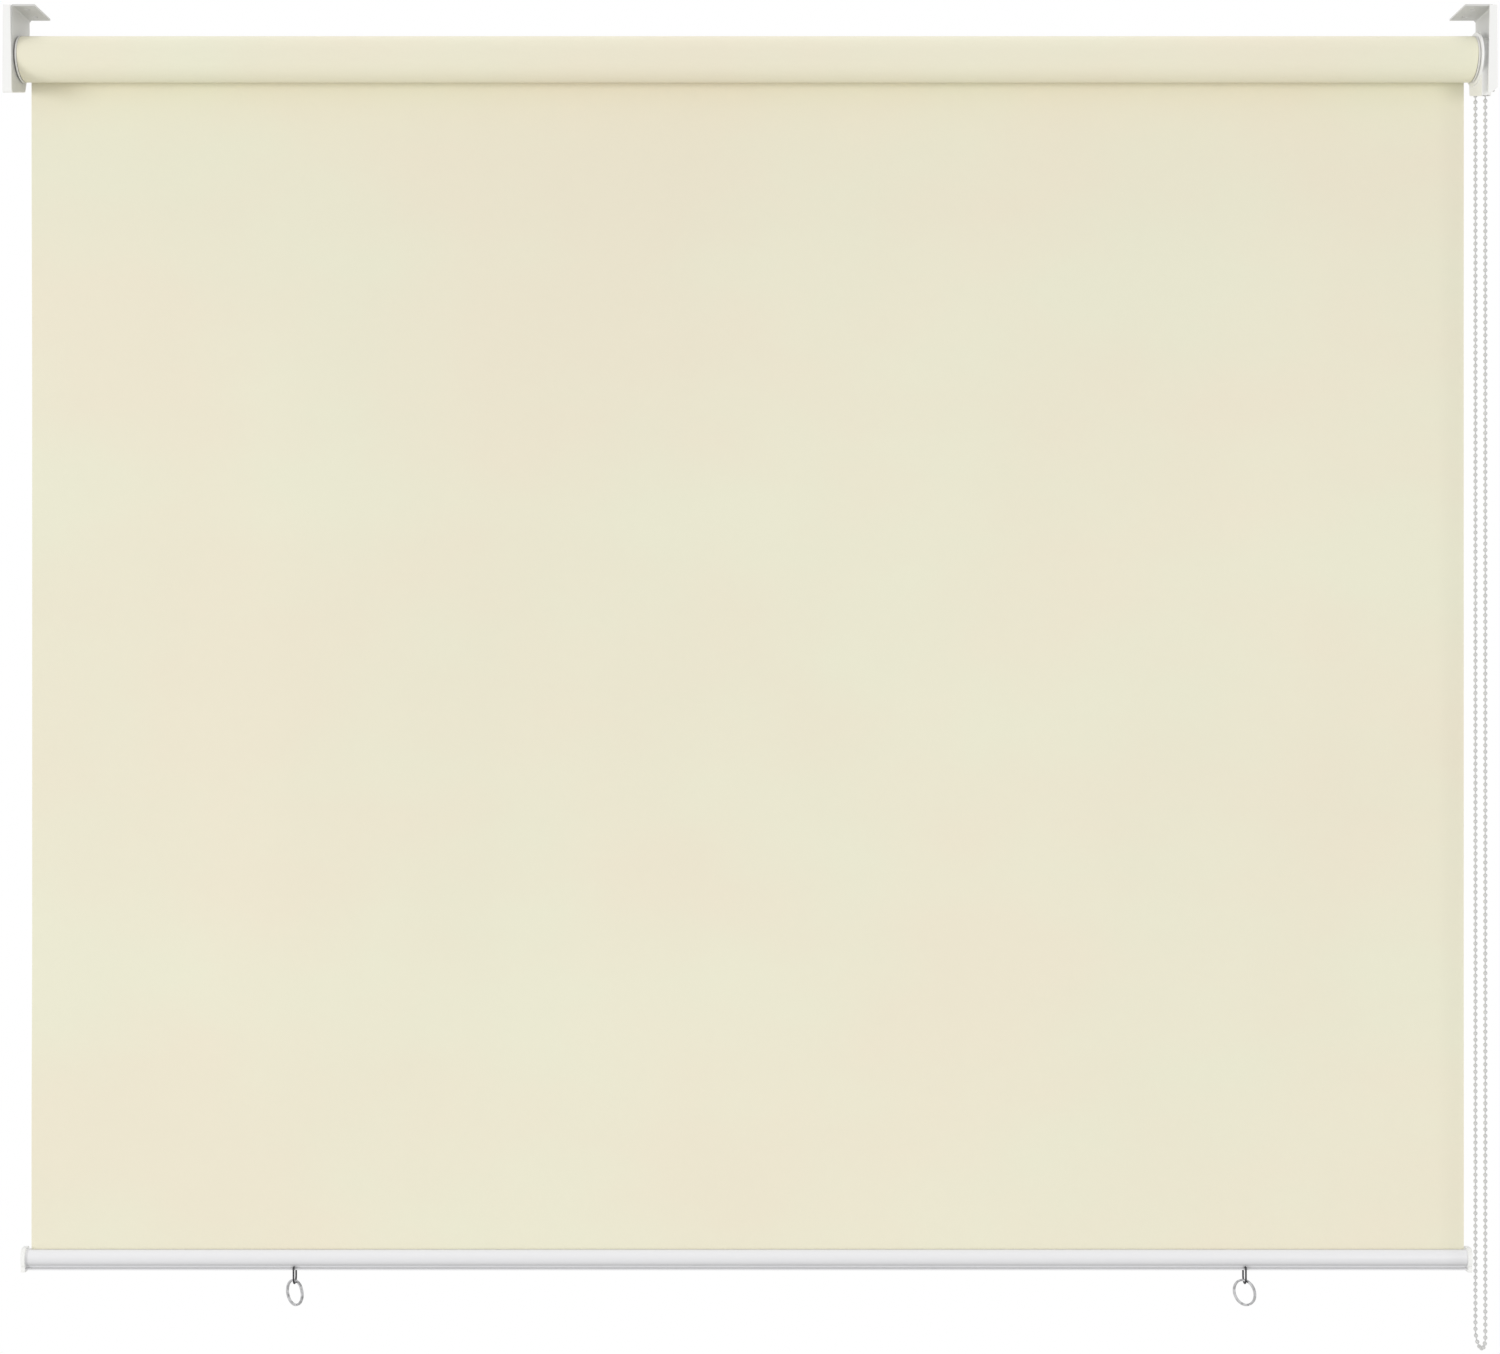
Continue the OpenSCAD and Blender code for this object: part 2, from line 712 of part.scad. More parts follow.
// The hollow inside the rail's body, shrunk all round by a clearance.
module rail_hollow(shrink) {
    inner = body_r - rail_wall - shrink;
    translate([sheet_y, 0]) difference() {
        intersection() {
            translate([-body_shift, body_mid]) circle(inner);
            translate([body_shift, body_mid]) circle(inner);
            translate([-rail_w, rail_z1 - body_h + rail_wall + shrink])
                square([2 * rail_w, body_h - 2 * (rail_wall + shrink)]);
        }
        translate([0, cord_z]) circle(cord_room + rail_wall + shrink);
        translate([-rail_w, cord_z]) square([2 * rail_w, rail_h]);
    }
}

module rail_profile() {
    difference() {
        rail_outline(0);
        rail_hollow(0);
        translate([sheet_y, 0]) {
            translate([0, cord_z]) circle(cord_room);
            translate([-rail_slot / 2, cord_z]) square([rail_slot, rail_h]);
        }
    }
}

module bottom_rail() {
    color(white) along_x(rail_x0, rail_x1) rail_profile();
}

// The cord is slit from above, and pinches the fabric's edge.
module rail_cord() {
    color(off_white) along_x(rail_x0 + 1, rail_x1 - 1) translate([sheet_y, cord_z]) difference() {
        circle(rail_cord_r);
        translate([-cord_slit / 2, -fit]) square([cord_slit, rail_cord_r + 1]);
    }
}

module rail_cap(x, side) {
    color(white) {
        along_x(min(x, x + side * cap_t), max(x, x + side * cap_t)) rail_outline(cap_lip);
        along_x(min(x, x - side * cap_plug), max(x, x - side * cap_plug)) rail_hollow(fit);
    }
}

module left_rail_cap() { rail_cap(rail_x0, -1); }
module right_rail_cap() { rail_cap(rail_x1, 1); }

// Tie rings

// A wire eye: a U of wire whose two ends are bent in and snap into the grooves of the rail.
module eye(x) {
    hook = eye_r - neck_w / 2 - fit;
    color(pale_metal) translate([x, sheet_y, 0]) {
        translate([0, 0, eye_z]) rotate([90, 0, 90]) rotate_extrude(angle = 180, start = 180)
            translate([eye_r, 0]) circle(d = eye_wire);
        for (side = [-1, 1]) translate([0, side * eye_r, eye_z]) {
            cylinder(d = eye_wire, h = eye_top - eye_z);
            translate([0, 0, eye_top - eye_z]) {
                rotate([0, 90, 0]) sphere(d = eye_wire);
                rotate([side * 90, 0, 0]) cylinder(d = eye_wire, h = hook);
            }
        }
    }
}

module left_eye() { eye(-eye_left); }
module right_eye() { eye(eye_right); }

// A split ring: two flat turns of wire side by side, each cut through where the wire ends.
module tie_ring(x, turn) {
    edge = 0.35;
    half = ring_w / 2;
    mid = ring_r - ring_t;
    cut_w = 0.8;
    color(pale_metal) translate([x, sheet_y, ring_z]) rotate([0, 0, turn]) rotate([90, 0, 0]) difference() {
        rotate_extrude() translate([mid, 0]) polygon([[edge, -half], [ring_t - edge, -half],
            [ring_t, edge - half], [ring_t, -edge], [ring_t - edge, 0], [ring_t, edge],
            [ring_t, half - edge], [ring_t - edge, half], [edge, half], [0, half - edge], [0, edge],
            [edge, 0], [0, -edge], [0, edge - half]]);
        for (side = [-1, 1]) rotate([0, 0, -90 + side * 25])
            translate([mid - 1, -cut_w / 2, side > 0 ? edge / 2 : -half - 1])
                cube([ring_t + 2, cut_w, half + 1 - edge / 2]);
    }
}

module left_ring() { tie_ring(-eye_left, ring_turn_left); }
module right_ring() { tie_ring(eye_right, ring_turn_right); }

left_bracket();
right_bracket();
left_cover();
right_cover();
pin_bush();
roller_tube();
fabric_roll();
tube_cord();
idle_plug();
plug_cap();
idle_pin();
pin_spring();
clutch_housing();
clutch_core();
drive_wheel();
brake_springs();
tube_adapter();
core_washer();
core_screw();
bead_chain();
fabric_drop();
bottom_rail();
rail_cord();
left_rail_cap();
right_rail_cap();
left_eye();
right_eye();
left_ring();
right_ring();
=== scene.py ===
import math

import bpy
from mathutils import Matrix, Vector


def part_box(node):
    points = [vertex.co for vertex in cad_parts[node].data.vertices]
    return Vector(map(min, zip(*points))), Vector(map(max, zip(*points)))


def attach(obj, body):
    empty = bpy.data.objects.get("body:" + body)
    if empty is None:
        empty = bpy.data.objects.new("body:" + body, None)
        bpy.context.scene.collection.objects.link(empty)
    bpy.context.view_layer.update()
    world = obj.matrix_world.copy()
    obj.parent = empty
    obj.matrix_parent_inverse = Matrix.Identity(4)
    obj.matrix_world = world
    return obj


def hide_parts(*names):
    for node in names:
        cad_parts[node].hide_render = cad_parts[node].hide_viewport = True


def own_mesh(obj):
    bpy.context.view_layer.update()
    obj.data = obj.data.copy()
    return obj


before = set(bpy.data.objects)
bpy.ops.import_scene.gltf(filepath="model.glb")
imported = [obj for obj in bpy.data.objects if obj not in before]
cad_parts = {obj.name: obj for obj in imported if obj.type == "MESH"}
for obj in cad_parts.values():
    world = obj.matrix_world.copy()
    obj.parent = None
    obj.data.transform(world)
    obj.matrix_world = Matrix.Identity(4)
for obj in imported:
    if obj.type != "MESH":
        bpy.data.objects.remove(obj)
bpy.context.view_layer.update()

# Camera. It stands level and straight in front of the blind, 2.3 m from the bracket covers,
# so both brackets show their inner faces and the undersides of their flanges.
scene = bpy.context.scene
scene.view_settings.view_transform = "Standard"
camera_place = (0.0, -2.328, -0.7205)
bpy.ops.object.camera_add(location=camera_place, rotation=(math.pi / 2, 0.0, 0.0))
camera = bpy.context.object
camera.name = "camera"
camera.data.sensor_width = 36.0
camera.data.lens = 51.6
scene.camera = camera

# Bead chain. An endless cord with plastic beads moulded on it, which hangs from the drive wheel
# in two straight strands and turns in a small bend at the foot. Seven pockets carry it on top.
axis_z = -0.052
chain_x = (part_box("bead_chain")[0][0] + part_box("bead_chain")[1][0]) / 2
bead_pitch = 0.007
bead_r = 0.00225
chain_cord_r = 0.0006
pockets = 14
strand_links = 197
pitch_r = bead_pitch / (2 * math.sin(math.pi / pockets))
bend_links = pockets // 2
chain_links = 2 * (strand_links + bend_links)
strand_foot = axis_z - strand_links * bead_pitch
same_height = 1e-6
weld_gap = 0.00002


def chain_place(links):
    """Place and direction on the chain, so many links on from the front of the wheel."""
    links = links % chain_links
    if links <= strand_links:
        y, z, way = -pitch_r, axis_z - links * bead_pitch, Vector((0, 0, -1))
    elif links < strand_links + bend_links:
        turn = math.pi + (links - strand_links) * math.pi / bend_links
        y, z = pitch_r * math.cos(turn), strand_foot + pitch_r * math.sin(turn)
        way = Vector((0, -math.sin(turn), math.cos(turn)))
    elif links <= 2 * strand_links + bend_links:
        up = links - strand_links - bend_links
        y, z, way = pitch_r, strand_foot + up * bead_pitch, Vector((0, 0, 1))
    else:
        turn = (links - 2 * strand_links - bend_links) * math.pi / bend_links
        y, z = pitch_r * math.cos(turn), axis_z + pitch_r * math.sin(turn)
        way = Vector((0, -math.sin(turn), math.cos(turn)))
    across = way.cross(Vector((1, 0, 0)))
    place = Matrix((Vector((1, 0, 0)), across, way)).transposed().to_4x4()
    place.translation = Vector((chain_x, y, z))
    return place


# One link is a ball whose poles open into a stub of cord on each side.
bpy.ops.object.select_all(action="DESELECT")
bpy.ops.mesh.primitive_uv_sphere_add(segments=10, ring_count=8, radius=bead_r)
link = bpy.context.object
bpy.ops.object.mode_set(mode="EDIT")
bpy.ops.mesh.select_all(action="DESELECT")
bpy.ops.object.mode_set(mode="OBJECT")
for v in link.data.vertices:
    v.select = abs(v.co.z) > 0.99 * bead_r
bpy.ops.object.mode_set(mode="EDIT")
bpy.ops.mesh.select_mode(type="VERT")
bpy.ops.mesh.delete(type="VERT")
for side in (1, -1):
    bpy.ops.mesh.select_all(action="DESELECT")
    bpy.ops.object.mode_set(mode="OBJECT")
    top = max(side * v.co.z for v in link.data.vertices)
    end_ring = [v for v in link.data.vertices if side * v.co.z > top - same_height]
    ring_r = min(math.hypot(v.co.x, v.co.y) for v in end_ring)
    for v in link.data.vertices:
        v.select = side * v.co.z > top - same_height
    bpy.ops.object.mode_set(mode="EDIT")
    bpy.ops.mesh.extrude_edges_move(
        TRANSFORM_OT_translate={"value": (0, 0, side * (bead_pitch / 2 - top))})
    narrow = chain_cord_r / ring_r
    bpy.ops.transform.resize(value=(narrow, narrow, 1), center_override=(0, 0, 0))
bpy.ops.mesh.select_all(action="SELECT")
bpy.ops.mesh.normals_make_consistent(inside=False)
bpy.ops.object.mode_set(mode="OBJECT")

# The loop is that link copied along the chain, its stubs turned to meet the next link's.
link_points = [v.co.copy() for v in link.data.vertices]
link_faces = [tuple(p.vertices) for p in link.data.polygons]
chain_points = []
chain_faces = []
for i in range(chain_links):
    first = len(chain_points)
    places = {0: chain_place(i), 1: chain_place(i + 0.5), -1: chain_place(i - 0.5)}
    for p in link_points:
        end = 0 if abs(p.z) < 0.45 * bead_pitch else (1 if p.z > 0 else -1)
        flat = Vector((p.x, p.y, p.z if end == 0 else 0.0))
        chain_points.append(places[end] @ flat)
    chain_faces.extend(tuple(first + k for k in f) for f in link_faces)
bpy.data.objects.remove(link)
chain_mesh = bpy.data.meshes.new("chain_loop")
chain_mesh.from_pydata(chain_points, [], chain_faces)
chain = bpy.data.objects.new("chain_loop", chain_mesh)
scene.collection.objects.link(chain)
bpy.ops.object.select_all(action="DESELECT")
chain.select_set(True)
bpy.context.view_layer.objects.active = chain
bpy.ops.object.mode_set(mode="EDIT")
bpy.ops.mesh.select_all(action="SELECT")
bpy.ops.mesh.remove_doubles(threshold=weld_gap)
bpy.ops.mesh.normals_make_consistent(inside=False)
bpy.ops.object.mode_set(mode="OBJECT")
bpy.ops.object.shade_smooth()

# Patches of tone and a fine grain, which most finishes of this blind share: a soft change of
# shade over the surface, a change of gloss, and a small height for the bump.
tone = bpy.data.node_groups.new("tone_and_grain", "ShaderNodeTree")
for name, kind, value in [("Colour", "NodeSocketColor", (0.8, 0.8, 0.8, 1)),
                          ("Patch Scale", "NodeSocketFloat", 6.0),
                          ("Patch Depth", "NodeSocketFloat", 0.06),
                          ("Grain Scale", "NodeSocketFloat", 900.0),
                          ("Roughness", "NodeSocketFloat", 0.5),
                          ("Gloss Change", "NodeSocketFloat", 0.1),
                          ("Stretch", "NodeSocketVector", (1.0, 1.0, 1.0))]:
    socket = tone.interface.new_socket(name, in_out="INPUT", socket_type=kind)
    socket.default_value = value
for name, kind in [("Colour", "NodeSocketColor"), ("Roughness", "NodeSocketFloat"),
                   ("Height", "NodeSocketFloat")]:
    tone.interface.new_socket(name, in_out="OUTPUT", socket_type=kind)


def node_in(tree, kind, **settings):
    """Adds a node and sets its properties."""
    made = tree.nodes.new(kind)
    for key, value in settings.items():
        setattr(made, key, value)
    return made


def fill_tone_group():
    """Lays out the nodes of the tone group."""
    given = node_in(tone, "NodeGroupInput")
    out = node_in(tone, "NodeGroupOutput")
    place = node_in(tone, "ShaderNodeTexCoord")
    stretched = node_in(tone, "ShaderNodeVectorMath", operation="MULTIPLY")
    patches = node_in(tone, "ShaderNodeTexNoise")
    patches.inputs["Detail"].default_value = 3.0
    grain = node_in(tone, "ShaderNodeTexNoise")
    grain.inputs["Detail"].default_value = 2.0
    depth = node_in(tone, "ShaderNodeMath", operation="MULTIPLY")
    shade = node_in(tone, "ShaderNodeMath", operation="SUBTRACT")
    shade.inputs[0].default_value = 1.0
    tinted = node_in(tone, "ShaderNodeVectorMath", operation="SCALE")
    centred = node_in(tone, "ShaderNodeMath", operation="SUBTRACT")
    centred.inputs[1].default_value = 0.5
    gloss = node_in(tone, "ShaderNodeMath", operation="MULTIPLY_ADD")
    join = tone.links.new
    join(place.outputs["Object"], stretched.inputs[0])
    join(given.outputs["Stretch"], stretched.inputs[1])
    join(stretched.outputs[0], patches.inputs["Vector"])
    join(stretched.outputs[0], grain.inputs["Vector"])
    join(given.outputs["Patch Scale"], patches.inputs["Scale"])
    join(given.outputs["Grain Scale"], grain.inputs["Scale"])
    join(patches.outputs["Fac"], depth.inputs[0])
    join(given.outputs["Patch Depth"], depth.inputs[1])
    join(depth.outputs[0], shade.inputs[1])
    join(given.outputs["Colour"], tinted.inputs[0])
    join(shade.outputs[0], tinted.inputs["Scale"])
    join(tinted.outputs[0], out.inputs["Colour"])
    join(patches.outputs["Fac"], centred.inputs[0])
    join(centred.outputs[0], gloss.inputs[0])
    join(given.outputs["Gloss Change"], gloss.inputs[1])
    join(given.outputs["Roughness"], gloss.inputs[2])
    join(gloss.outputs[0], out.inputs["Roughness"])
    join(grain.outputs["Fac"], out.inputs["Height"])


fill_tone_group()


def srgb(red, green, blue):
    """A screen colour, 0 to 255, as the linear colour that a shader takes."""
    linear = []
    for part in (red, green, blue):
        part = part / 255
        linear.append(part / 12.92 if part <= 0.04045 else ((part + 0.055) / 1.055) ** 2.4)
    return (*linear, 1.0)


def toned_material(name, colour, bump, distance, **values):
    """A material whose colour, gloss and bump come from the tone group, with its own values."""
    made = bpy.data.materials.new(name)
    made.use_nodes = True
    tree = made.node_tree
    shader = tree.nodes["Principled BSDF"]
    group = node_in(tree, "ShaderNodeGroup", node_tree=tone)
    group.inputs["Colour"].default_value = colour
    for key, value in values.items():
        group.inputs[key.replace("_", " ").title()].default_value = value
    relief = node_in(tree, "ShaderNodeBump")
    relief.inputs["Strength"].default_value = bump
    relief.inputs["Distance"].default_value = distance
    tree.links.new(group.outputs["Colour"], shader.inputs["Base Color"])
    tree.links.new(group.outputs["Roughness"], shader.inputs["Roughness"])
    tree.links.new(group.outputs["Height"], relief.inputs["Height"])
    tree.links.new(relief.outputs["Normal"], shader.inputs["Normal"])
    return made


def shader_of(material):
    """The material's main shader, to set a constant on its own socket."""
    return material.node_tree.nodes["Principled BSDF"]


chain_plastic = toned_material("chain_plastic", srgb(212, 212, 211), 0.1, 0.0001, patch_scale=160.0,
                               patch_depth=0.16, grain_scale=3000.0, roughness=0.34, gloss_change=0.15)
chain.data.materials.append(chain_plastic)
chain_route = [chain_place(i / 2).translation for i in range(2 * chain_links)]
chain_route.append(chain_place(0).translation)
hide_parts("bead_chain")
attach(chain, "brackets")

# Fabric drop. One flat sheet of coated polyester weave, cut clean at its sides, which hangs from
# the back of the roll and is pinched in the bottom rail.
side_gap = 0.0003
fabric_x0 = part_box("fabric_drop")[0][0] + side_gap
fabric_x1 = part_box("fabric_drop")[1][0] - side_gap
fabric_w = fabric_x1 - fabric_x0
fabric_t = 0.0005
sheet_y = 0.02436
drop_top = -0.0522
drop_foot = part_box("fabric_drop")[0][2]
drop_len = drop_top - drop_foot
ripple = 0.0006
edge_curl = 0.0012
edge_share = 0.02
cream = srgb(238, 236, 212)
warm_cream = srgb(240, 233, 210)


def eased(share):
    """A share from 0 to 1 that starts and stops gently."""
    share = min(1.0, max(0.0, share))
    return share * share * (3 - 2 * share)


bpy.ops.object.select_all(action="DESELECT")
bpy.ops.mesh.primitive_grid_add(x_subdivisions=96, y_subdivisions=80, size=1.0, calc_uvs=True)
drop = bpy.context.object
drop.name = "fabric_sheet"
for v in drop.data.vertices:
    across = v.co.x + 0.5
    down = 0.5 - v.co.y
    loose = eased((down - 0.03) / 0.25) * eased((0.92 - down) / 0.2)
    broad = math.sin(7.0 * across * math.pi + 1.1)
    fine = math.sin(17.0 * across * math.pi + 3.0 * down)
    edge = math.exp(-min(across, 1 - across) / edge_share)
    sway = ripple * (broad + 0.6 * fine) + edge_curl * edge
    v.co = Vector((fabric_x0 + across * fabric_w, sheet_y + loose * sway, drop_top - down * drop_len))
for corner in drop.data.uv_layers.active.data:
    corner.uv = (corner.uv[0] * fabric_w, corner.uv[1] * drop_len)


def thicken(cloth):
    """Gives a sheet of this fabric its thickness, half to each side."""
    bpy.ops.object.select_all(action="DESELECT")
    cloth.select_set(True)
    bpy.context.view_layer.objects.active = cloth
    wall = cloth.modifiers.new("wall", "SOLIDIFY")
    wall.thickness = fabric_t
    wall.offset = 0.0
    bpy.ops.object.modifier_apply(modifier="wall")
    bpy.ops.object.shade_smooth_by_angle(angle=math.radians(40))


thicken(drop)

# The weave: threads of about a millimetre each way, over and under in turn, with painted shade
# between them, and a faint change between two creams over the sheet.
weave = bpy.data.node_groups.new("weave", "ShaderNodeTree")
for name, kind, value in [("Colour", "NodeSocketColor", cream), ("Threads", "NodeSocketFloat", 900.0),
                          ("Gap Depth", "NodeSocketFloat", 0.08)]:
    socket = weave.interface.new_socket(name, in_out="INPUT", socket_type=kind)
    socket.default_value = value
for name, kind in [("Colour", "NodeSocketColor"), ("Height", "NodeSocketFloat")]:
    weave.interface.new_socket(name, in_out="OUTPUT", socket_type=kind)


def fill_weave_group():
    """Lays out the nodes of the weave group."""
    join = weave.links.new
    given = node_in(weave, "NodeGroupInput")
    out = node_in(weave, "NodeGroupOutput")
    place = node_in(weave, "ShaderNodeUVMap")
    scaled = node_in(weave, "ShaderNodeVectorMath", operation="SCALE")
    parts = node_in(weave, "ShaderNodeSeparateXYZ")
    join(place.outputs["UV"], scaled.inputs[0])
    join(given.outputs["Threads"], scaled.inputs["Scale"])
    join(scaled.outputs[0], parts.inputs[0])
    threads = []
    for part in ("X", "Y"):
        turn = node_in(weave, "ShaderNodeMath", operation="MULTIPLY")
        turn.inputs[1].default_value = math.pi
        bow = node_in(weave, "ShaderNodeMath", operation="SINE")
        rise = node_in(weave, "ShaderNodeMath", operation="ABSOLUTE")
        join(parts.outputs[part], turn.inputs[0])
        join(turn.outputs[0], bow.inputs[0])
        join(bow.outputs[0], rise.inputs[0])
        threads.append(rise)
    over = node_in(weave, "ShaderNodeTexChecker")
    over.inputs["Scale"].default_value = 1.0
    join(scaled.outputs[0], over.inputs["Vector"])
    chosen = node_in(weave, "ShaderNodeMix", data_type="FLOAT")
    join(over.outputs["Fac"], chosen.inputs[0])
    join(threads[0].outputs[0], chosen.inputs[2])
    join(threads[1].outputs[0], chosen.inputs[3])
    # Painted shade: the colour darkens where the threads dip between one another, by Gap Depth.
    gap = node_in(weave, "ShaderNodeMath", operation="SUBTRACT")
    gap.inputs[0].default_value = 1.0
    join(chosen.outputs[0], gap.inputs[1])
    dark = node_in(weave, "ShaderNodeMath", operation="MULTIPLY")
    join(gap.outputs[0], dark.inputs[0])
    join(given.outputs["Gap Depth"], dark.inputs[1])
    shade = node_in(weave, "ShaderNodeMath", operation="SUBTRACT")
    shade.inputs[0].default_value = 1.0
    join(dark.outputs[0], shade.inputs[1])
    tinted = node_in(weave, "ShaderNodeVectorMath", operation="SCALE")
    join(given.outputs["Colour"], tinted.inputs[0])
    join(shade.outputs[0], tinted.inputs["Scale"])
    join(tinted.outputs[0], out.inputs["Colour"])
    join(chosen.outputs[0], out.inputs["Height"])


fill_weave_group()
cream_fabric = toned_material("cream_fabric", cream, 0.35, 0.0002, patch_scale=2.2, patch_depth=0.05,
                              grain_scale=260.0, roughness=0.82, gloss_change=0.1)
tree = cream_fabric.node_tree
toned = next(n for n in tree.nodes if n.type == "GROUP")
bump = next(n for n in tree.nodes if n.type == "BUMP")
woven = node_in(tree, "ShaderNodeGroup", node_tree=weave)
tree.links.new(toned.outputs["Colour"], woven.inputs["Colour"])
tree.links.new(woven.outputs["Colour"], shader_of(cream_fabric).inputs["Base Color"])
tree.links.new(woven.outputs["Height"], bump.inputs["Height"])
cloud_place = node_in(tree, "ShaderNodeTexCoord")
cloud_stretch = node_in(tree, "ShaderNodeVectorMath", operation="MULTIPLY")
cloud_stretch.inputs[1].default_value = (1.6, 1.0, 2.6)
clouds = node_in(tree, "ShaderNodeTexNoise")
clouds.inputs["Scale"].default_value = 1.7
clouds.inputs["Detail"].default_value = 4.0
warmth = node_in(tree, "ShaderNodeMapRange")
warmth.inputs["From Min"].default_value = 0.38
warmth.inputs["From Max"].default_value = 0.62
blend = node_in(tree, "ShaderNodeMix", data_type="RGBA")
blend.inputs[6].default_value = cream
blend.inputs[7].default_value = warm_cream
tree.links.new(cloud_place.outputs["Object"], cloud_stretch.inputs[0])
tree.links.new(cloud_stretch.outputs[0], clouds.inputs["Vector"])
tree.links.new(clouds.outputs["Fac"], warmth.inputs["Value"])
tree.links.new(warmth.outputs["Result"], blend.inputs[0])
tree.links.new(blend.outputs[2], toned.inputs["Colour"])
shader_of(cream_fabric).inputs["Sheen Weight"].default_value = 0.12
shader_of(cream_fabric).inputs["Sheen Roughness"].default_value = 0.5
drop.data.materials.append(cream_fabric)
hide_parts("fabric_drop")
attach(drop, "brackets")
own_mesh(drop)

# Roll. The rest of the same fabric, wound three turns on the tube so that it comes off the back.
# Its edges lie a little unevenly, as they do on a blind that has been wound up and down.
roll_r = 0.02455
turn_pitch = 0.00065
turns = 3
uneven = 0.0004
end_column = 0.001

bpy.ops.object.select_all(action="DESELECT")
bpy.ops.mesh.primitive_grid_add(x_subdivisions=48, y_subdivisions=72 * turns, size=1.0, calc_uvs=True)
roll = bpy.context.object
roll.name = "fabric_wound"
wound_len = 2 * math.pi * turns * (roll_r - fabric_t / 2 - turn_pitch * turns / 2)
for v in roll.data.vertices:
    across = v.co.x + 0.5
    wound = 0.5 - v.co.y
    turn = 2 * math.pi * turns * wound
    r = roll_r - fabric_t / 2 - turn_pitch * turns * wound
    inset = uneven * (1 + math.sin(1.7 * turn)) * (turns * wound % 1.0 > 0.02)
    x = fabric_x0 + across * fabric_w
    if across < end_column:
        x += inset
    if across > 1 - end_column:
        x -= inset
    v.co = Vector((x, r * math.cos(turn), axis_z + r * math.sin(turn)))
for corner in roll.data.uv_layers.active.data:
    corner.uv = (corner.uv[0] * fabric_w, corner.uv[1] * wound_len)
thicken(roll)
roll.data.materials.append(cream_fabric)
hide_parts("fabric_roll")
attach(roll, "roller")


def dress(material, *nodes):
    """Gives CAD nodes one finish."""
    for name in nodes:
        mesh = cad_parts[name].data
        mesh.materials.clear()
        mesh.materials.append(material)


# Tube and its locking cord. The tube is mill-finish extruded aluminium with die lines along it,
# and the fabric's edge is held in its groove by a round plastic cord.
tube_aluminium = toned_material("tube_aluminium", srgb(205, 207, 208), 0.15, 0.0002, patch_scale=30.0,
                                patch_depth=0.12, grain_scale=700.0, roughness=0.36, gloss_change=0.2,
                                stretch=(0.01, 1.0, 1.0))
shader_of(tube_aluminium).inputs["Metallic"].default_value = 1.0
dress(tube_aluminium, "roller_tube")
nylon = toned_material("nylon", srgb(230, 229, 224), 0.1, 0.0002, patch_scale=25.0, patch_depth=0.06,
                       grain_scale=1500.0, roughness=0.5, gloss_change=0.12)
dress(nylon, "tube_cord")

# Idle end. A moulded plug in the tube carries a spring pin, which sits in a bush in the bracket.
# The pin and its spring are bright steel, and a disc shuts the spring in.
bright_steel = toned_material("bright_steel", srgb(196, 197, 198), 0.12, 0.0001, patch_scale=60.0,
                              patch_depth=0.15, grain_scale=2500.0, roughness=0.3, gloss_change=0.2)
shader_of(bright_steel).inputs["Metallic"].default_value = 1.0
dress(nylon, "pin_bush", "idle_plug", "plug_cap")
dress(bright_steel, "idle_pin")

# The pin's spring, a coil of round wire.
coil_wire = 0.0012
coil_r = 0.0046
coil_turns = 8
coil_x0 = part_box("pin_spring")[0][0] + coil_wire / 2
coil_x1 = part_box("pin_spring")[1][0] - coil_wire / 2

bpy.ops.object.select_all(action="DESELECT")
bpy.ops.mesh.primitive_circle_add(vertices=10, radius=coil_wire / 2)
coil = bpy.context.object
coil.name = "pin_coil"
for v in coil.data.vertices:
    v.co.y += coil_r
wind = coil.modifiers.new("wind", "SCREW")
wind.axis = "X"
wind.screw_offset = (coil_x1 - coil_x0) / coil_turns
wind.iterations = coil_turns
wind.steps = 24
wind.render_steps = 24
bpy.ops.object.modifier_apply(modifier="wind")
bpy.ops.object.mode_set(mode="EDIT")
bpy.ops.mesh.select_all(action="SELECT")
bpy.ops.mesh.fill_holes(sides=12)
bpy.ops.mesh.normals_make_consistent(inside=False)
bpy.ops.object.mode_set(mode="OBJECT")
lean = min(v.co.x for v in coil.data.vertices) + coil_wire / 2
for v in coil.data.vertices:
    v.co = v.co + Vector((coil_x0 - lean, 0, axis_z))
bpy.ops.object.shade_smooth()
coil.data.materials.append(bright_steel)
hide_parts("pin_spring")
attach(coil, "roller")
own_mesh(coil)

# Chain clutch. A white housing on the bracket covers the drive wheel and leads the chain out
# below. Inside are a fixed core with two wrap springs, the wheel and the adapter in the tube.
white_plastic = toned_material("white_plastic", srgb(243, 243, 241), 0.08, 0.0002, patch_scale=9.0,
                               patch_depth=0.035, grain_scale=1800.0, roughness=0.42, gloss_change=0.14)
dress(white_plastic, "clutch_housing")
dress(nylon, "clutch_core", "drive_wheel", "tube_adapter")
dress(bright_steel, "brake_springs", "core_washer", "core_screw")

# Brackets. Bent from 2 mm steel and powder coated pale grey, with a flange on the ceiling and
# a side plate, and the fine dimpled skin that such a coat has.
coated_steel = toned_material("coated_steel", srgb(212, 212, 209), 0.2, 0.0003, patch_scale=12.0,
                              patch_depth=0.06, grain_scale=1100.0, roughness=0.46, gloss_change=0.16)
dress(coated_steel, "left_bracket", "right_bracket")

# Bracket covers. White moulded caps that clip over the side plates from outside, each with
# a narrow front face. The chain side's one is cut at a slant at its foot.
dress(white_plastic, "left_cover", "right_cover")
